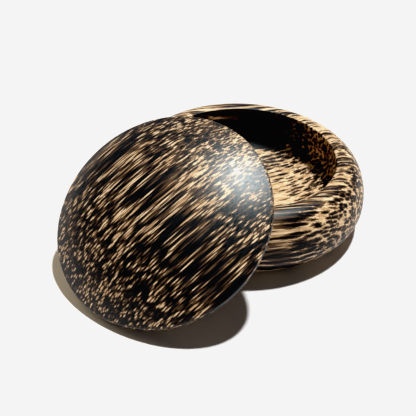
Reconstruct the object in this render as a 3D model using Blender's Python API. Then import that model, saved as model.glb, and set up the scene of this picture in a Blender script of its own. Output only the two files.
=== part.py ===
"""Go stone bowl: a squat turned bowl of palm wood, with its domed lid leaning on the front of it.

Metres, +Z up. The origin is the centre of the bowl's flat foot, on the ground, and the bowl's axis is +Z. The lid
leans against the side that faces -Y, with its low side on the ground. Both pieces are turned shapes: each is one
profile, carried once round its own axis.
"""

import math

import bpy
from mathutils import Matrix, Vector

# The bowl: radii from its axis, heights from its foot.
BOWL_RADIUS = 0.0750
BOWL_HEIGHT = 0.0432
WIDEST_HEIGHT = 0.0186
FOOT_RADIUS = 0.0425
CROWN_RADIUS = 0.0584

# The rebate inside the lip, which the lid's step drops into, and the steep taper below it.
REBATE_RADIUS = 0.0554
REBATE_DROP = 0.0008
REBATE_DEPTH = 0.0030
TAPER_RADIUS = 0.0538
TAPER_DEPTH = 0.0050

# The hollow for the stones: its widest ring, and the wood left under its centre.
HOLLOW_RADIUS = 0.0570
HOLLOW_WIDEST_HEIGHT = 0.0280
FLOOR_THICKNESS = 0.0085

# The lid: radii from its axis, heights from the underside of its thin rim.
LID_RADIUS = 0.0638
LID_EDGE = 0.0024
DOME_HEIGHT = 0.0175
STEP_DEPTH = 0.0022
SPIGOT_RADIUS = 0.0520
SPIGOT_DEPTH = 0.0120
DISH_RADIUS = 0.0440
DISH_FLAT_RADIUS = 0.0370
DISH_DEPTH = 0.0029

# The closed lid's play in the rebate, on the radius.
FIT_CLEARANCE = 0.0006

# How far the lid is tipped from level where it leans, and the air left where it rests on the bowl.
LEAN_ANGLE = math.radians(35.65)
LEAN_GAP = 0.0003

# Roundness of each curve: 2 is a quarter of an ellipse, and a larger power is squarer.
SHOULDER_POWER = 2.05
BELLY_POWER = 2.35
HOLLOW_POWER = 2.0
DOME_POWER = 2.26

# How finely the profiles are divided.
TURN_STEPS = 72
SHOULDER_POINTS = 9
BELLY_POINTS = 8
UNDER_LIP_POINTS = 3
FLOOR_POINTS = 10
DOME_POINTS = 12
DISH_POINTS = 4

# Doubled points on a piece's own axis are joined within this distance.
MERGE_DISTANCE = 0.00002

BOWL_COLOUR = (0.105, 0.070, 0.045, 1.0)
BOWL_ROUGHNESS = 0.42
LID_COLOUR = (0.075, 0.052, 0.038, 1.0)
LID_ROUGHNESS = 0.36


def clear_scene():
    """Removes whatever the file already holds."""
    for old in list(bpy.data.objects):
        bpy.data.objects.remove(old, do_unlink=True)


def quarter_curve(upright, level, power, points):
    """Points of a quarter superellipse, which stands upright where it starts and lies level where it ends.

    The start itself is left out, and the end is kept.
    """
    start_radius, start_height = upright
    end_radius, end_height = level
    found = []
    for i in range(1, points):
        angle = math.pi / 2.0 * i / points
        across = math.cos(angle) ** (2.0 / power)
        along = math.sin(angle) ** (2.0 / power)
        radius = end_radius + (start_radius - end_radius) * across
        height = start_height + (end_height - start_height) * along
        found.append((radius, height))
    return found + [level]


def bowl_outside():
    """The bowl's outer profile, from the crown of its lip down to the edge of its foot."""
    widest = (BOWL_RADIUS, WIDEST_HEIGHT)
    crown = (CROWN_RADIUS, BOWL_HEIGHT)
    shoulder = quarter_curve(widest, crown, SHOULDER_POWER, SHOULDER_POINTS)
    belly = quarter_curve(widest, (FOOT_RADIUS, 0.0), BELLY_POWER, BELLY_POINTS)
    return shoulder[::-1] + [widest] + belly


def bowl_inside():
    """The bowl's inner profile, from the centre of the hollow's floor up to the top edge of the rebate."""
    edge_height = BOWL_HEIGHT - REBATE_DROP
    rebate_foot = edge_height - REBATE_DEPTH
    widest = (HOLLOW_RADIUS, HOLLOW_WIDEST_HEIGHT)
    floor = quarter_curve(widest, (0.0, FLOOR_THICKNESS), HOLLOW_POWER, FLOOR_POINTS)
    taper_foot = (TAPER_RADIUS, rebate_foot - TAPER_DEPTH)
    under_lip = quarter_curve(widest, taper_foot, HOLLOW_POWER, UNDER_LIP_POINTS)
    rebate = [(REBATE_RADIUS, rebate_foot), (REBATE_RADIUS, edge_height)]
    return floor[::-1] + [widest] + under_lip + rebate


def lid_dome():
    """The lid's upper profile, from the top of its dome out to the upper corner of its rim."""
    found = []
    for i in range(DOME_POINTS + 1):
        share = math.sin(math.pi / 2.0 * i / DOME_POINTS)
        rise = DOME_HEIGHT * (1.0 - share**DOME_POWER)
        found.append((LID_RADIUS * share, LID_EDGE + rise))
    return found


def lid_underside():
    """The lid's lower profile, from the lower corner of its rim in to the centre of the dish."""
    step_radius = REBATE_RADIUS - FIT_CLEARANCE
    dish_mouth = (DISH_RADIUS, -SPIGOT_DEPTH)
    dish_flat = (DISH_FLAT_RADIUS, DISH_DEPTH - SPIGOT_DEPTH)
    found = [
        (LID_RADIUS, 0.0),
        (step_radius, 0.0),
        (step_radius, -STEP_DEPTH),
        (SPIGOT_RADIUS, -STEP_DEPTH),
        (SPIGOT_RADIUS, -SPIGOT_DEPTH),
        dish_mouth,
    ]
    cove = quarter_curve(dish_mouth, dish_flat, HOLLOW_POWER, DISH_POINTS)
    return found + cove + [(0.0, DISH_DEPTH - SPIGOT_DEPTH)]


def turned_piece(name, profile, material):
    """One solid, turned from a profile that runs from the axis, down the outer side and back to the axis."""
    mesh = bpy.data.meshes.new(name)
    corners = [(radius, 0.0, height) for radius, height in profile]
    links = [(i, i + 1) for i in range(len(corners) - 1)]
    mesh.from_pydata(corners, links, [])
    mesh.materials.append(material)
    piece = bpy.data.objects.new(name, mesh)
    bpy.context.scene.collection.objects.link(piece)
    turn = piece.modifiers.new("turn", "SCREW")
    turn.axis = "Z"
    turn.steps = TURN_STEPS
    turn.render_steps = TURN_STEPS
    turn.use_merge_vertices = True
    turn.merge_threshold = MERGE_DISTANCE
    turn.use_smooth_shade = True
    return piece


def palm_wood(name, colour, roughness):
    """Satin palm wood, here as one even colour."""
    material = bpy.data.materials.new(name)
    material.use_nodes = True
    shader = material.node_tree.nodes["Principled BSDF"]
    shader.inputs["Base Color"].default_value = colour
    shader.inputs["Roughness"].default_value = roughness
    shader.inputs["Metallic"].default_value = 0.0
    return material


def leaning_place():
    """Where the lid stands: its dish on the bowl's shoulder, and its low side on the ground.

    The lid's own axis points up and towards -Y. Its place follows from two contacts: the height of its dish above
    the bowl along that axis, and the lowest of its rim and its spigot, which touches the ground.
    """
    tilt_sine = math.sin(LEAN_ANGLE)
    tilt_cosine = math.cos(LEAN_ANGLE)
    lid_axis = Vector((0.0, -tilt_sine, tilt_cosine))
    uphill = Vector((0.0, tilt_cosine, tilt_sine))
    shoulder_reach = max(radius * tilt_sine + height * tilt_cosine for radius, height in bowl_outside())
    axis_offset = shoulder_reach + LEAN_GAP + SPIGOT_DEPTH - DISH_DEPTH
    low_corners = [(LID_RADIUS, 0.0), (SPIGOT_RADIUS, SPIGOT_DEPTH)]
    centre_height = max(radius * tilt_sine + depth * tilt_cosine for radius, depth in low_corners)
    uphill_offset = (centre_height - axis_offset * tilt_cosine) / tilt_sine
    centre = lid_axis * axis_offset + uphill * uphill_offset
    return Matrix.Translation(centre) @ Matrix.Rotation(LEAN_ANGLE, 4, "X")


def make_bowl():
    """The bowl stands on its foot at the origin."""
    profile = bowl_inside() + bowl_outside() + [(0.0, 0.0)]
    return turned_piece("bowl", profile, palm_wood("bowl_wood", BOWL_COLOUR, BOWL_ROUGHNESS))


def make_lid():
    """The lid is turned about its own axis, then leaned on the bowl."""
    profile = lid_dome() + lid_underside()
    lid = turned_piece("lid", profile, palm_wood("lid_wood", LID_COLOUR, LID_ROUGHNESS))
    lid.matrix_world = leaning_place()
    return lid


clear_scene()
make_bowl()
make_lid()
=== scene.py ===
import math

import bmesh
import bpy
from mathutils import Matrix, Vector


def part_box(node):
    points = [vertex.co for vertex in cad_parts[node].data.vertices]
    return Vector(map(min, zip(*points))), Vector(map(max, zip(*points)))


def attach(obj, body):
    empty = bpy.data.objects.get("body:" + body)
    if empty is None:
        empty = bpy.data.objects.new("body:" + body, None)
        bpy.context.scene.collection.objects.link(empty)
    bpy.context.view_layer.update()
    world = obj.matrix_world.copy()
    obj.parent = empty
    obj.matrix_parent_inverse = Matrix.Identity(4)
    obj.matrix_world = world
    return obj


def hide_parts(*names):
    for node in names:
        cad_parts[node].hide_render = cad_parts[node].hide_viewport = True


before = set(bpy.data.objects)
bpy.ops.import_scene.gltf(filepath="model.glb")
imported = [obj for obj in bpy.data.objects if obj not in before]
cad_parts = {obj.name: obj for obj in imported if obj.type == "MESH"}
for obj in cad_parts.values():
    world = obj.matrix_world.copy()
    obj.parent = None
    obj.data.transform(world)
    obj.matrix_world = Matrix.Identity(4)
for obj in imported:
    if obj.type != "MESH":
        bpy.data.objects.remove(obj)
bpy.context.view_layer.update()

# A go stone bowl of black palm wood, with its domed lid leaning on the front of it. Metres, +Z up, and
# the origin is the centre of the bowl's foot. Both pieces are turned: each is one profile, carried once
# round its own axis.

# ---------------------------------------------------------------- sizes, in metres

# The bowl: radii from its axis, heights from its foot.
BOWL_RADIUS = 0.0750
BOWL_HEIGHT = 0.0432
WIDEST_HEIGHT = 0.0186
FOOT_RADIUS = 0.0425
CROWN_RADIUS = 0.0584

# The rebate inside its lip, the steep taper below that, and the hollow for the stones.
REBATE_RADIUS = 0.0554
REBATE_DROP = 0.0008
REBATE_DEPTH = 0.0030
TAPER_RADIUS = 0.0538
TAPER_DEPTH = 0.0050
HOLLOW_RADIUS = 0.0570
HOLLOW_WIDEST_HEIGHT = 0.0280
FLOOR_THICKNESS = 0.0085

# The lid: radii from its axis, depths from the underside of its thin rim. The dome rises from the rim's top,
# and the dish goes up into the spigot's foot.
LID_RADIUS = 0.0638
LID_EDGE = 0.0024
DOME_HEIGHT = 0.0175
STEP_RADIUS = 0.0548
STEP_DEPTH = 0.0022
SPIGOT_RADIUS = 0.0520
SPIGOT_DEPTH = 0.0120
DISH_RADIUS = 0.0440
DISH_FLAT_RADIUS = 0.0370
DISH_DEPTH = 0.0029

# How far the lid is tipped from level where it leans.
LEAN_ANGLE = math.radians(35.65)

# Roundness of each curve: a larger power is squarer. At 2 the dome would be a parabola, and each of the
# others a quarter of an ellipse.
SHOULDER_POWER = 2.05
BELLY_POWER = 2.35
HOLLOW_POWER = 2.0
DOME_POWER = 2.26

# Edges eased by sanding: how far each one's curve reaches from the sharp corner.
FINE_EASE = 0.0004
LIP_EASE = 0.0007
RIM_EASE = 0.0007

# How finely the pieces are turned.
TURN_STEPS = 288
CURVE_POINTS = 48
DOME_POINTS = 96
EASE_POINTS = 6
LONGEST_STEP = 0.0015

# The dish's eased mouth stands in for this many of the first points of its cove.
EASED_COVE_POINTS = 3

# ---------------------------------------------------------------- wood

# Directions of the palm's fibres: from +X in the lid's own frame, and from +X on the ground for the bowl.
LID_FIBRE_TURN = math.radians(70.3)
BOWL_FIBRE_TURN = math.radians(48.4)

# How strongly the fibres bow downwards to both ends: the drop over the distance squared, per metre.
LID_FIBRE_BOW = 1.0
BOWL_FIBRE_BOW = 0.0

# The dark bundles, and the specks of tan left where they are crowded. A size is a share of the spacing, and
# a stretch is how many times longer a pattern is along the fibres than across them.
LID_SPECK_SPACING = 0.00120
LID_SPECK_SIZE = 0.31
LID_BUNDLE_SPACING = 0.00137
LID_BUNDLE_SIZE = 0.53
BOWL_BUNDLE_SPACING = 0.0020
BOWL_BUNDLE_SIZE = 0.61
BUNDLE_STRETCH = 24.0

# Fibres drift sideways within a band this wide. Those within about this length of each other drift together.
WANDER_AMOUNT = 0.0050
WANDER_LENGTH = 0.0600
WANDER_STRETCH = 2.0

# Broad bands of denser wood, and single strands, which make the edge of every bundle uneven.
BAND_WIDTH = 0.0085
BAND_STRETCH = 4.0
BAND_CONTRAST = 0.60
STRAND_WIDTH = 0.00045
STRAND_STRETCH = 40.0
STRAND_CONTRAST = 0.60

# Softer wood with more tan towards the lid's high side, where it is also drawn paler as painted sheen, and
# painted shade on its low right, drawn as darker wood. Both places are in the lid's own frame.
LID_SOFT_AND_SHEEN_CENTRE = Vector((0.020, 0.045, 0.010))
LID_SOFT_AND_SHEEN_REACH = 0.054
LID_PAINTED_SHADE_CENTRE = Vector((0.036, -0.022, 0.010))
LID_PAINTED_SHADE_REACH = 0.045
LID_PAINTED_SHADE_SHIFT = 0.03

# Painted shade round the back of the hollow, drawn as darker wood where the wall lies in shade. It ends at a
# cone, which just holds the hollow and the rebate but not the lip: the cone's radius on the ground, and how
# much it narrows for each metre of height.
BOWL_PAINTED_SHADE_CENTRE = Vector((-0.028, 0.050, 0.028))
BOWL_PAINTED_SHADE_REACH = 0.080
BOWL_PAINTED_SHADE_SHIFT = 0.52
BOWL_PAINTED_SHADE_HEIGHTS = (0.021, 0.044)
BOWL_PAINTED_SHADE_BLEND = 0.005
BOWL_PAINTED_SHADE_CONE = (0.0649, 0.22)
BOWL_PAINTED_SHADE_EDGE = 0.0006

# Painted light: paler wood where the key lights the floor of the hollow, and a painted sheen in the back of
# the
# lip: each zone's centre, its reach, and how much paler it is.
BOWL_PAINTED_LIGHT_ZONES = [
    (Vector((0.010, 0.004, 0.010)), 0.052, 0.40),
    (Vector((0.016, 0.064, 0.042)), 0.050, 0.22),
]

# How far the brown spreads into the dark wood, and how quickly the tan reaches its full colour.
BROWN_REACH = 0.25
TAN_REACH = 0.07

# How much one streak of tan differs from the next, and how wide the streaks are.
STREAK_VARIETY = 0.45
STREAK_WIDTH = 0.0018

# Fine rings left by turning and sanding, stronger in some patches than in others.
TURNING_PITCH = 0.0008
TURNING_PATCH = 0.0200
FAINTEST_TURNING = 0.3

# How strongly each piece mirrors light that falls straight on it: the lid is polished more than the bowl.
LID_SHINE = 0.60
BOWL_SHINE = 0.24
WOOD_IOR = 1.5

# Roughness from the smoothest strand to the roughest one, and what the turning marks add to it.
STRAND_ROUGHNESS = (0.26, 0.42)
TURNING_ROUGHNESS = 0.40

# The surface's relief: how far it goes, and the share of each cause. Tan wood is sanded a little lower.
RELIEF_DEPTH = 0.00012
RELIEF_STRENGTH = 0.35
STRAND_RELIEF = 1.0
TAN_RELIEF = 0.4
TURNING_RELIEF = 2.4

# Noise runs from 0 to 1 about this middle. Most of it lies close to the middle, so these ranges spread it
# out.
NOISE_MIDDLE = 0.5
INNER_NOISE = (0.35, 0.65)
MOST_NOISE = (0.30, 0.70)
UPPER_NOISE = (0.50, 0.75)

BLACK_BROWN = (0.002, 0.003, 0.005, 1.0)
CHARCOAL = (0.014, 0.016, 0.021, 1.0)
MID_BROWN = (0.150, 0.084, 0.044, 1.0)
TAN = (0.560, 0.325, 0.145, 1.0)
PALE_TAN = (1.000, 0.750, 0.460, 1.0)

# ---------------------------------------------------------------- stage

# The floor, which is shown darker in the wood's reflections than it is.
FLOOR_SIZE = 8.0
FLOOR_COLOUR = (0.800, 0.788, 0.792, 1.0)
FLOOR_IN_GLOSS = (0.60, 0.60, 0.62, 1.0)

# Bearings run from +X to +Y. The key light is high, behind the bowl.
KEY_AZIMUTH = math.radians(85.5)
KEY_ELEVATION = math.radians(75.2)
KEY_STRENGTH = 3.90
KEY_ANGLE = math.radians(3.5)

# The key's broad reflection, as from a softbox: it is mirrored in the pieces and doesn't light them.
SHEEN_STRENGTH = 3.5
SHEEN_COLOUR = (0.86, 0.98, 1.0)
SHEEN_ANGLE = math.radians(27.0)

# Low lights reach into the shadows on the floor: a warm one from the left, and a faint cool one from the
# right.
FILL_ELEVATION = math.radians(24.0)
FILL_ANGLE = math.radians(60.0)
WARM_FILL_AZIMUTH = math.radians(172.0)
WARM_FILL_COLOUR = (1.0, 0.82, 0.54)
WARM_FILL_STRENGTH = 2.0
COOL_FILL_AZIMUTH = math.radians(-15.0)
COOL_FILL_COLOUR = (0.85, 0.93, 1.0)
COOL_FILL_STRENGTH = 0.06

# The room is dim, and a little brighter low down behind the bowl. The camera sees a plain backdrop.
ROOM_COLOUR = (1.0, 0.90, 0.80, 1.0)
ROOM_STRENGTH = 0.065
GLOW_AZIMUTH = math.radians(125.0)
GLOW_ELEVATION = math.radians(10.0)
GLOW_COLOUR = (0.90, 0.95, 1.0, 1.0)
GLOW_STRENGTH = 0.17
GLOW_EDGE = 0.45
BACKDROP_COLOUR = (1.0, 1.0, 1.0, 1.0)

# The camera, with its lens and its sensor in millimetres.
CAMERA_AZIMUTH = math.radians(-55.76)
CAMERA_ELEVATION = math.radians(36.03)
CAMERA_DISTANCE = 0.5460
CAMERA_AIM = Vector((-0.0024, -0.0354, 0.0200))
CAMERA_ROLL = math.radians(3.22)
CAMERA_LENS = 78.0
SENSOR_WIDTH = 36.0
NEAREST_SEEN = 0.01
FARTHEST_SEEN = 50.0

# Light as it falls on the film, and as it is shown: deep blacks, and nothing brighter than the paper.
TONE_POINTS = [(0.013, 0.003), (0.036, 0.024), (0.120, 0.117), (0.830, 0.830), (0.930, 0.905)]
SHOWN_BLACK = 0.0014
PAPER_WHITE = 0.905


# ---------------------------------------------------------------- profiles


def quarter_curve(upright, level, power):
    """Points of a quarter superellipse, which stands upright where it starts and lies level where it ends.

    The start itself is left out, and the end is kept.
    """
    start_radius, start_height = upright
    end_radius, end_height = level
    found = []
    for i in range(1, CURVE_POINTS):
        angle = math.pi / 2.0 * i / CURVE_POINTS
        across = math.cos(angle) ** (2.0 / power)
        along = math.sin(angle) ** (2.0 / power)
        radius = end_radius + (start_radius - end_radius) * across
        height = start_height + (end_height - start_height) * along
        found.append((radius, height))
    return found + [level]


def eased(before, corner, after, ease):
    """A sharp corner as a small curve that leaves each side at the given distance from it."""
    corner = Vector(corner)
    start = corner + (Vector(before) - corner).normalized() * ease
    end = corner + (Vector(after) - corner).normalized() * ease
    found = []
    for i in range(EASE_POINTS + 1):
        share = i / EASE_POINTS
        point = start * (1 - share) ** 2 + corner * 2 * share * (1 - share) + end * share**2
        found.append((point.x, point.y))
    return found


def finely_divided(profile):
    """The same profile with its long straight steps cut up, so that it shades evenly."""
    found = [profile[0]]
    for end in profile[1:]:
        start = Vector(found[-1])
        parts = max(1, math.ceil((Vector(end) - start).length / LONGEST_STEP))
        for i in range(1, parts + 1):
            point = start.lerp(Vector(end), i / parts)
            found.append((point.x, point.y))
    return found


def bowl_profile():
    """From the centre of the hollow's floor, over the lip and down the outside, to the foot's centre."""
    edge_height = BOWL_HEIGHT - REBATE_DROP
    rebate_foot = edge_height - REBATE_DEPTH
    widest_inside = (HOLLOW_RADIUS, HOLLOW_WIDEST_HEIGHT)
    taper_foot = (TAPER_RADIUS, rebate_foot - TAPER_DEPTH)
    rebate_corner = (REBATE_RADIUS, rebate_foot)
    rebate_edge = (REBATE_RADIUS, edge_height)
    widest = (BOWL_RADIUS, WIDEST_HEIGHT)
    floor = quarter_curve(widest_inside, (0.0, FLOOR_THICKNESS), HOLLOW_POWER)
    under_lip = quarter_curve(widest_inside, taper_foot, HOLLOW_POWER)
    shoulder = quarter_curve(widest, (CROWN_RADIUS, BOWL_HEIGHT), SHOULDER_POWER)[::-1]
    belly = quarter_curve(widest, (FOOT_RADIUS, 0.0), BELLY_POWER)
    profile = floor[::-1] + [widest_inside] + under_lip[:-1]
    profile += eased(under_lip[-2], taper_foot, rebate_corner, FINE_EASE)
    profile += [rebate_corner]
    profile += eased(rebate_corner, rebate_edge, shoulder[0], LIP_EASE)
    profile += shoulder + [widest] + belly + [(0.0, 0.0)]
    return finely_divided(profile)


def dome_curve():
    """The lid's upper profile, from the top of its dome to where the easing of its rim begins."""
    found = []
    for i in range(DOME_POINTS):
        share = math.sin(math.pi / 2.0 * i / DOME_POINTS)
        rise = DOME_HEIGHT * (1.0 - share**DOME_POWER)
        if LID_RADIUS * share < LID_RADIUS - RIM_EASE:
            found.append((LID_RADIUS * share, LID_EDGE + rise))
    return found


def lid_profile():
    """From the top of the dome, over the thin rim and the spigot, to the centre of the dish."""
    rim_top = (LID_RADIUS, LID_EDGE)
    rim_low = (LID_RADIUS, 0.0)
    step_top = (STEP_RADIUS, 0.0)
    step_low = (STEP_RADIUS, -STEP_DEPTH)
    spigot_top = (SPIGOT_RADIUS, -STEP_DEPTH)
    spigot_low = (SPIGOT_RADIUS, -SPIGOT_DEPTH)
    dish_mouth = (DISH_RADIUS, -SPIGOT_DEPTH)
    dish_flat = (DISH_FLAT_RADIUS, DISH_DEPTH - SPIGOT_DEPTH)
    cove = quarter_curve(dish_mouth, dish_flat, HOLLOW_POWER)
    profile = dome_curve()
    profile += eased(profile[-1], rim_top, rim_low, RIM_EASE)
    profile += eased(rim_top, rim_low, step_top, FINE_EASE)
    profile += [step_top]
    profile += eased(step_top, step_low, spigot_top, FINE_EASE)
    profile += [spigot_top]
    profile += eased(spigot_top, spigot_low, dish_mouth, RIM_EASE)
    profile += eased(spigot_low, dish_mouth, cove[0], FINE_EASE)
    profile += cove[EASED_COVE_POINTS:] + [(0.0, dish_flat[1])]
    return finely_divided(profile)


def turned_mesh(name, profile):
    """A closed mesh turned about Z from a profile whose two ends lie on the axis."""
    rings = profile[1:-1]
    points = [(0.0, 0.0, profile[0][1])]
    for radius, height in rings:
        for i in range(TURN_STEPS):
            angle = math.tau * i / TURN_STEPS
            points.append((radius * math.cos(angle), radius * math.sin(angle), height))
    points.append((0.0, 0.0, profile[-1][1]))
    last = len(points) - 1
    first_of_last_ring = last - TURN_STEPS
    faces = []
    for i in range(TURN_STEPS):
        following = (i + 1) % TURN_STEPS
        faces.append((0, 1 + following, 1 + i))
        faces.append((last, first_of_last_ring + i, first_of_last_ring + following))
        for ring in range(len(rings) - 1):
            start = 1 + ring * TURN_STEPS
            after = start + TURN_STEPS
            faces.append((start + i, start + following, after + following, after + i))
    mesh = bpy.data.meshes.new(name)
    mesh.from_pydata(points, [], faces)
    mesh.update()
    return mesh


def face_outwards(mesh):
    """Turns every face the same way round, with its front on the outside."""
    work = bmesh.new()
    work.from_mesh(mesh)
    bmesh.ops.recalc_face_normals(work, faces=work.faces)
    work.to_mesh(mesh)
    work.free()


def turned_piece(name, profile, material):
    """One smooth solid, turned about Z and given its material."""
    mesh = turned_mesh(name, profile)
    face_outwards(mesh)
    mesh.shade_smooth()
    mesh.materials.append(material)
    piece = bpy.data.objects.new(name, mesh)
    bpy.context.scene.collection.objects.link(piece)
    return piece


# ---------------------------------------------------------------- node helpers


class Nodes:
    """Short calls for building a node tree. The ones that work a value out return its socket."""

    def __init__(self, tree):
        """Builds in the given tree."""
        self.tree = tree

    def add(self, kind, **settings):
        """A new node itself, with its settings."""
        node = self.tree.nodes.new(kind)
        for name, value in settings.items():
            setattr(node, name, value)
        return node

    def put(self, socket, value):
        """Joins a socket to another one, or sets its plain value."""
        if isinstance(value, bpy.types.NodeSocket):
            self.tree.links.new(value, socket)
        else:
            socket.default_value = value

    def math(self, operation, first, second=0.0, clamp=False):
        """A calculation on numbers."""
        node = self.add("ShaderNodeMath", operation=operation, use_clamp=clamp)
        self.put(node.inputs[0], first)
        self.put(node.inputs[1], second)
        return node.outputs[0]

    def vector(self, operation, first, second=(0.0, 0.0, 0.0), output="Vector"):
        """A calculation on vectors."""
        node = self.add("ShaderNodeVectorMath", operation=operation)
        self.put(node.inputs[0], first)
        self.put(node.inputs[1], second)
        return node.outputs[output]

    def remap(self, value, low, high, to_low=0.0, to_high=1.0):
        """A smooth step from one range to another, level outside it."""
        node = self.add("ShaderNodeMapRange", interpolation_type="SMOOTHSTEP")
        self.put(node.inputs["Value"], value)
        self.put(node.inputs["From Min"], low)
        self.put(node.inputs["From Max"], high)
        self.put(node.inputs["To Min"], to_low)
        self.put(node.inputs["To Max"], to_high)
        return node.outputs["Result"]

    def noise(self, place, scale, detail=2.0, roughness=0.5, output="Fac"):
        """Soft noise, of about one feature in each 1 / scale."""
        node = self.add("ShaderNodeTexNoise")
        self.put(node.inputs["Vector"], place)
        self.put(node.inputs["Scale"], scale)
        self.put(node.inputs["Detail"], detail)
        self.put(node.inputs["Roughness"], roughness)
        return node.outputs[output]

    def cell_distance(self, place, scale):
        """The distance from the nearest of many scattered points, about 1 / scale apart."""
        node = self.add("ShaderNodeTexVoronoi", feature="F1")
        self.put(node.inputs["Vector"], place)
        self.put(node.inputs["Scale"], scale)
        return node.outputs["Distance"]

    def mix_colour(self, share, first, second):
        """A Mix node in its colour mode, whose colour sockets come after its number and vector ones."""
        node = self.add("ShaderNodeMix", data_type="RGBA")
        self.put(node.inputs[0], share)
        self.put(node.inputs[6], first)
        self.put(node.inputs[7], second)
        return node.outputs[2]


def object_place(nodes):
    """Coordinates that match the row frame at rest, and go with the piece when it moves."""
    return nodes.add("ShaderNodeTexCoord").outputs["Object"]


def part_along(nodes, place, axis):
    """How far a place lies along an axis."""
    return nodes.vector("DOT_PRODUCT", place, axis, output="Value")


def about_middle(nodes, noise, amount):
    """Noise that adds and takes away, up to about half the given amount."""
    return nodes.math("MULTIPLY", nodes.math("SUBTRACT", noise, NOISE_MIDDLE), amount)


# ---------------------------------------------------------------- wood


def along_fibres(nodes, grain, bow):
    """The piece's coordinates from its centre along the grain's three axes, of which X follows the fibres.

    The fibres bow downwards to both ends by the given share of the distance squared.
    """
    place = nodes.vector("SUBTRACT", object_place(nodes), grain.to_translation())
    along, across, deep = [part_along(nodes, place, axis) for axis in grain.to_3x3().col]
    drop = nodes.math("MULTIPLY", nodes.math("MULTIPLY", along, along), bow)
    turned = nodes.add("ShaderNodeCombineXYZ")
    nodes.put(turned.inputs["X"], along)
    nodes.put(turned.inputs["Y"], across)
    nodes.put(turned.inputs["Z"], nodes.math("ADD", deep, drop))
    return turned.outputs["Vector"]


def stretched(nodes, place, stretch):
    """Coordinates squeezed along the fibres, so that a pattern on them is drawn out along the fibres."""
    return nodes.vector("MULTIPLY", place, (1.0 / stretch, 1.0, 1.0))


def wandering(nodes, place):
    """Fibres that drift sideways a little along their length."""
    slow_place = stretched(nodes, place, WANDER_STRETCH)
    slow = nodes.noise(slow_place, 1.0 / WANDER_LENGTH, detail=1.0, output="Color")
    from_middle = nodes.vector("SUBTRACT", slow, (NOISE_MIDDLE, NOISE_MIDDLE, NOISE_MIDDLE))
    drift = nodes.vector("MULTIPLY", from_middle, (0.0, WANDER_AMOUNT, WANDER_AMOUNT))
    return nodes.vector("ADD", place, drift)


def turning_marks(nodes, grain):
    """Fine rings about the piece's own axis, stronger in some patches than in others."""
    place = nodes.vector("SUBTRACT", object_place(nodes), grain.to_translation())
    height = part_along(nodes, place, grain.to_3x3().col[2])
    distance = nodes.vector("LENGTH", place, output="Value")
    distance_squared = nodes.math("MULTIPLY", distance, distance)
    height_squared = nodes.math("MULTIPLY", height, height)
    radius_squared = nodes.math("SUBTRACT", distance_squared, height_squared)
    radius = nodes.math("SQRT", nodes.math("MAXIMUM", radius_squared, 0.0))
    ring_place = nodes.add("ShaderNodeCombineXYZ")
    nodes.put(ring_place.inputs["X"], radius)
    rings = nodes.noise(ring_place.outputs["Vector"], 1.0 / TURNING_PITCH, detail=3.0, roughness=0.7)
    patches = nodes.remap(nodes.noise(place, 1.0 / TURNING_PATCH), *INNER_NOISE, FAINTEST_TURNING, 1.0)
    return about_middle(nodes, rings, patches)


def dark_bundles(nodes, place, spacing, size):
    """Above zero in the tan tissue between dark bundles, and below zero inside them."""
    distance = nodes.cell_distance(stretched(nodes, place, BUNDLE_STRETCH), 1.0 / spacing)
    return nodes.math("SUBTRACT", distance, size)


def tan_specks(nodes, place, spacing, size):
    """Above zero in the small strings of tan tissue that are left where the dark bundles are crowded."""
    distance = nodes.cell_distance(stretched(nodes, place, BUNDLE_STRETCH), 1.0 / spacing)
    return nodes.math("SUBTRACT", size, distance)


def zone(nodes, centre, reach):
    """One at a point of the piece, falling smoothly to zero at the given distance from it."""
    distance = nodes.vector("DISTANCE", object_place(nodes), centre, output="Value")
    return nodes.remap(distance, 0.0, reach, 1.0, 0.0)


def between_heights(nodes, low, high, blend):
    """One between two heights of the piece at rest, falling to zero over a short way above and below."""
    height = part_along(nodes, object_place(nodes), (0.0, 0.0, 1.0))
    above = nodes.remap(height, low - blend, low)
    below = nodes.remap(height, high, high + blend, 1.0, 0.0)
    return nodes.math("MULTIPLY", above, below)


def inside_cone(nodes, ground_radius, narrowing, blend):
    """One inside a cone about the bowl's axis, falling to zero over a short way past its surface."""
    place = object_place(nodes)
    height = part_along(nodes, place, (0.0, 0.0, 1.0))
    distance = nodes.vector("LENGTH", nodes.vector("MULTIPLY", place, (1.0, 1.0, 0.0)), output="Value")
    reach = nodes.math("ADD", distance, nodes.math("MULTIPLY", height, narrowing))
    return nodes.remap(reach, ground_radius, ground_radius + blend, 1.0, 0.0)


def lid_level(nodes, place):
    """Crowded wood with tan specks, going over to dark bundles on tan towards the lid's high side, paler
    there as painted sheen, and darker on its low right as painted shade.
    """
    lean = leaning_place()
    specks = tan_specks(nodes, place, LID_SPECK_SPACING, LID_SPECK_SIZE)
    bundles = dark_bundles(nodes, place, LID_BUNDLE_SPACING, LID_BUNDLE_SIZE)
    # Softer wood towards the high side, drawn paler also as painted sheen where the key's reflection falls.
    soft_and_sheen = zone(nodes, lean @ LID_SOFT_AND_SHEEN_CENTRE, LID_SOFT_AND_SHEEN_REACH)
    # Painted shade: darker wood on the low right, which faces away from the light.
    painted_shade = zone(nodes, lean @ LID_PAINTED_SHADE_CENTRE, LID_PAINTED_SHADE_REACH)
    difference = nodes.math("MULTIPLY", nodes.math("SUBTRACT", bundles, specks), soft_and_sheen)
    level = nodes.math("ADD", specks, difference)
    return nodes.math("SUBTRACT", level, nodes.math("MULTIPLY", painted_shade, LID_PAINTED_SHADE_SHIFT))


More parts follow.
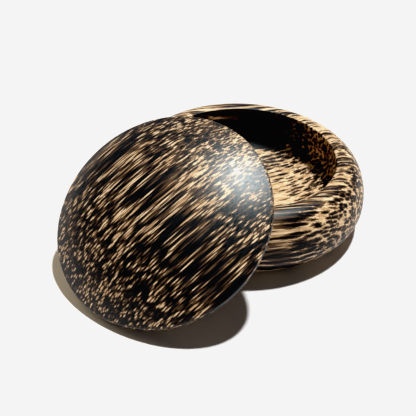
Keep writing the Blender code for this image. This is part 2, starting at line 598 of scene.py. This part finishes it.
def bowl_level(nodes, place):
    """Softer wood whose dark bundles stand apart, darker as painted shade in the hollow and paler as painted
    light.
    """
    bundles = dark_bundles(nodes, place, BOWL_BUNDLE_SPACING, BOWL_BUNDLE_SIZE)
    # Painted shade: darker wood round the back of the hollow, where the wall lies in shade.
    painted_shade = zone(nodes, BOWL_PAINTED_SHADE_CENTRE, BOWL_PAINTED_SHADE_REACH)
    painted_shade = nodes.math("MULTIPLY", painted_shade, between_heights(nodes, *BOWL_PAINTED_SHADE_HEIGHTS, BOWL_PAINTED_SHADE_BLEND))
    painted_shade = nodes.math("MULTIPLY", painted_shade, inside_cone(nodes, *BOWL_PAINTED_SHADE_CONE, BOWL_PAINTED_SHADE_EDGE))
    level = nodes.math("SUBTRACT", bundles, nodes.math("MULTIPLY", painted_shade, BOWL_PAINTED_SHADE_SHIFT))
    # Painted light: paler wood where the key lights the hollow's floor, and where its sheen falls on the
    # back of the lip.
    for centre, reach, shift in BOWL_PAINTED_LIGHT_ZONES:
        level = nodes.math("ADD", level, nodes.math("MULTIPLY", zone(nodes, centre, reach), shift))
    return level


def wood_colour(nodes, place, level, tan_share, strands):
    """Black wood that turns brown as the level nears zero, and tan above it, in paler and darker streaks."""
    black = nodes.mix_colour(nodes.remap(strands, *UPPER_NOISE), BLACK_BROWN, CHARCOAL)
    dark = nodes.mix_colour(nodes.remap(level, -BROWN_REACH, 0.0), black, MID_BROWN)
    streaks = nodes.noise(stretched(nodes, place, BUNDLE_STRETCH), 1.0 / STREAK_WIDTH, detail=1.0)
    variety = nodes.remap(streaks, *INNER_NOISE, -STREAK_VARIETY, STREAK_VARIETY)
    paleness = nodes.math("ADD", nodes.remap(strands, *INNER_NOISE), variety, clamp=True)
    return nodes.mix_colour(tan_share, dark, nodes.mix_colour(paleness, TAN, PALE_TAN))


def wood_relief(nodes, tan_share, strands, marks):
    """The surface's normal, with raised strands, sunken tan wood and the rings left by turning."""
    raised = nodes.math("MULTIPLY", strands, STRAND_RELIEF)
    height = nodes.math("SUBTRACT", raised, nodes.math("MULTIPLY", tan_share, TAN_RELIEF))
    height = nodes.math("ADD", height, nodes.math("MULTIPLY", marks, TURNING_RELIEF))
    bump = nodes.add("ShaderNodeBump")
    nodes.put(bump.inputs["Height"], height)
    nodes.put(bump.inputs["Strength"], RELIEF_STRENGTH)
    nodes.put(bump.inputs["Distance"], RELIEF_DEPTH)
    return bump.outputs["Normal"]


def palm_wood(name, grain, bow, shine, pattern):
    """Black palm: near-black fibre bundles and tan ground tissue, all through the piece.

    The grain's X axis runs along the fibres, and its Z axis is the one the piece was turned on. The pattern
    gives a level above zero in tan wood.
    """
    material = bpy.data.materials.new(name)
    material.use_nodes = True
    nodes = Nodes(material.node_tree)
    place = wandering(nodes, along_fibres(nodes, grain, bow))
    band_place = stretched(nodes, place, BAND_STRETCH)
    bands = nodes.noise(band_place, 1.0 / BAND_WIDTH)
    strand_place = stretched(nodes, place, STRAND_STRETCH)
    strands = nodes.noise(strand_place, 1.0 / STRAND_WIDTH, roughness=0.6)
    marks = turning_marks(nodes, grain)

    level = nodes.math("ADD", pattern(nodes, place), about_middle(nodes, bands, BAND_CONTRAST))
    level = nodes.math("ADD", level, about_middle(nodes, strands, STRAND_CONTRAST))
    tan_share = nodes.remap(level, 0.0, TAN_REACH)
    roughness = nodes.remap(strands, *MOST_NOISE, *STRAND_ROUGHNESS)
    roughness = nodes.math("ADD", roughness, nodes.math("MULTIPLY", marks, TURNING_ROUGHNESS))

    shader = material.node_tree.nodes["Principled BSDF"]
    nodes.put(shader.inputs["Base Color"], wood_colour(nodes, place, level, tan_share, strands))
    nodes.put(shader.inputs["Roughness"], roughness)
    nodes.put(shader.inputs["IOR"], WOOD_IOR)
    nodes.put(shader.inputs["Specular IOR Level"], shine)
    nodes.put(shader.inputs["Normal"], wood_relief(nodes, tan_share, strands, marks))
    return material


# ---------------------------------------------------------------- the pieces


def make_bowl():
    """The bowl stands on its foot at the origin, so it needs no moving."""
    grain = Matrix.Rotation(BOWL_FIBRE_TURN, 4, "Z")
    wood = palm_wood("bowl_palm", grain, BOWL_FIBRE_BOW, BOWL_SHINE, bowl_level)
    bowl = turned_piece("bowl_turned", bowl_profile(), wood)
    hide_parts("bowl")
    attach(bowl, "bowl")


def leaning_place():
    """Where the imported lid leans: its highest and frontmost points both lie on its rim's upper edge."""
    low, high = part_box("lid")
    reach = LID_RADIUS * math.cos(LEAN_ANGLE) + LID_EDGE * math.sin(LEAN_ANGLE)
    rise = LID_RADIUS * math.sin(LEAN_ANGLE) + LID_EDGE * math.cos(LEAN_ANGLE)
    centre = Vector((0.0, low.y + reach, high.z - rise))
    return Matrix.Translation(centre) @ Matrix.Rotation(LEAN_ANGLE, 4, "X")


def make_lid():
    """The lid is turned about Z, and then its mesh is leaned on the bowl."""
    place = leaning_place()
    grain = place @ Matrix.Rotation(LID_FIBRE_TURN, 4, "Z")
    wood = palm_wood("lid_palm", grain, LID_FIBRE_BOW, LID_SHINE, lid_level)
    lid = turned_piece("lid_turned", lid_profile(), wood)
    lid.data.transform(place)
    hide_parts("lid")
    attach(lid, "lid")


# ---------------------------------------------------------------- floor, light and camera


def direction(azimuth, elevation):
    """The unit vector towards a bearing from +X to +Y and a height above the horizon."""
    level = math.cos(elevation)
    return Vector((math.cos(azimuth) * level, math.sin(azimuth) * level, math.sin(elevation)))


def make_floor():
    """A plain pale matt floor."""
    material = bpy.data.materials.new("pale_floor")
    material.use_nodes = True
    shader = material.node_tree.nodes["Principled BSDF"]
    shader.inputs["Roughness"].default_value = 1.0
    shader.inputs["Specular IOR Level"].default_value = 0.0
    nodes = Nodes(material.node_tree)
    seen_in_gloss = nodes.add("ShaderNodeLightPath").outputs["Is Glossy Ray"]
    nodes.put(shader.inputs["Base Color"], nodes.mix_colour(seen_in_gloss, FLOOR_COLOUR, FLOOR_IN_GLOSS))
    half = FLOOR_SIZE / 2.0
    corners = [(-half, -half, 0.0), (half, -half, 0.0), (half, half, 0.0), (-half, half, 0.0)]
    mesh = bpy.data.meshes.new("floor")
    mesh.from_pydata(corners, [], [(0, 1, 2, 3)])
    mesh.materials.append(material)
    floor = bpy.data.objects.new("floor", mesh)
    bpy.context.scene.collection.objects.link(floor)
    return floor


def make_sun(name, azimuth, elevation, strength, angle, colour=(1.0, 1.0, 1.0)):
    """A distant lamp that looks as wide as the given angle."""
    lamp = bpy.data.lights.new(name, "SUN")
    lamp.energy = strength
    lamp.angle = angle
    lamp.color = colour
    sun = bpy.data.objects.new(name, lamp)
    bpy.context.scene.collection.objects.link(sun)
    sun.rotation_mode = "QUATERNION"
    sun.rotation_quaternion = direction(azimuth, elevation).to_track_quat("Z", "Y")
    return sun


def make_key():
    """One light in two lamps: a small hard one that lights, and a wide one that is only seen mirrored."""
    key = make_sun("key", KEY_AZIMUTH, KEY_ELEVATION, KEY_STRENGTH, KEY_ANGLE)
    key.visible_glossy = False
    sheen = make_sun("sheen", KEY_AZIMUTH, KEY_ELEVATION, SHEEN_STRENGTH, SHEEN_ANGLE, SHEEN_COLOUR)
    sheen.visible_diffuse = False


def make_fills(floor):
    """Two low lights that reach the floor alone."""
    lit_by_fill = bpy.data.collections.new("lit_by_floor_fill")
    lit_by_fill.objects.link(floor)
    fills = [
        ("warm_fill", WARM_FILL_AZIMUTH, WARM_FILL_STRENGTH, WARM_FILL_COLOUR),
        ("cool_fill", COOL_FILL_AZIMUTH, COOL_FILL_STRENGTH, COOL_FILL_COLOUR),
    ]
    for name, azimuth, strength, colour in fills:
        fill = make_sun(name, azimuth, FILL_ELEVATION, strength, FILL_ANGLE, colour)
        fill.light_linking.receiver_collection = lit_by_fill


def make_surroundings():
    """A dim room with a soft glow low down behind the bowl, and a plain pale backdrop for the camera."""
    world = bpy.data.worlds.new("studio")
    bpy.context.scene.world = world
    world.use_nodes = True
    nodes = Nodes(world.node_tree)
    towards = nodes.add("ShaderNodeTexCoord").outputs["Generated"]
    nearness = part_along(nodes, towards, direction(GLOW_AZIMUTH, GLOW_ELEVATION))
    share = nodes.remap(nearness, GLOW_EDGE, 1.0)
    strength = nodes.remap(nearness, GLOW_EDGE, 1.0, ROOM_STRENGTH, GLOW_STRENGTH)
    lighting = world.node_tree.nodes["Background"]
    nodes.put(lighting.inputs["Color"], nodes.mix_colour(share, ROOM_COLOUR, GLOW_COLOUR))
    nodes.put(lighting.inputs["Strength"], strength)
    backdrop = nodes.add("ShaderNodeBackground")
    nodes.put(backdrop.inputs["Color"], BACKDROP_COLOUR)
    either = nodes.add("ShaderNodeMixShader")
    nodes.put(either.inputs[0], nodes.add("ShaderNodeLightPath").outputs["Is Camera Ray"])
    nodes.put(either.inputs[1], lighting.outputs["Background"])
    nodes.put(either.inputs[2], backdrop.outputs["Background"])
    nodes.put(world.node_tree.nodes["World Output"].inputs["Surface"], either.outputs[0])


def make_camera():
    """The camera looks down at the pair from the front right, rolled a little."""
    data = bpy.data.cameras.new("camera")
    data.lens = CAMERA_LENS
    data.sensor_width = SENSOR_WIDTH
    data.clip_start = NEAREST_SEEN
    data.clip_end = FARTHEST_SEEN
    camera = bpy.data.objects.new("camera", data)
    bpy.context.scene.collection.objects.link(camera)
    back = direction(CAMERA_AZIMUTH, CAMERA_ELEVATION)
    look = (-back).to_track_quat("-Z", "Y").to_matrix().to_4x4()
    place = Matrix.Translation(CAMERA_AIM + back * CAMERA_DISTANCE)
    camera.matrix_world = place @ look @ Matrix.Rotation(CAMERA_ROLL, 4, "Z")
    bpy.context.scene.camera = camera


def set_contrast():
    """Plain display colours, with the darkest tones pulled down as in a contrasty print."""
    view = bpy.context.scene.view_settings
    view.view_transform = "Standard"
    view.use_curve_mapping = True
    view.curve_mapping.extend = "HORIZONTAL"
    # The last curve shapes red, green and blue together.
    combined = view.curve_mapping.curves[-1]
    combined.points[0].location = (0.0, SHOWN_BLACK)
    combined.points[-1].location = (1.0, PAPER_WHITE)
    for tone, shown in TONE_POINTS:
        combined.points.new(tone, shown)
    view.curve_mapping.update()


make_bowl()
make_lid()
make_key()
make_fills(make_floor())
make_surroundings()
make_camera()
set_contrast()
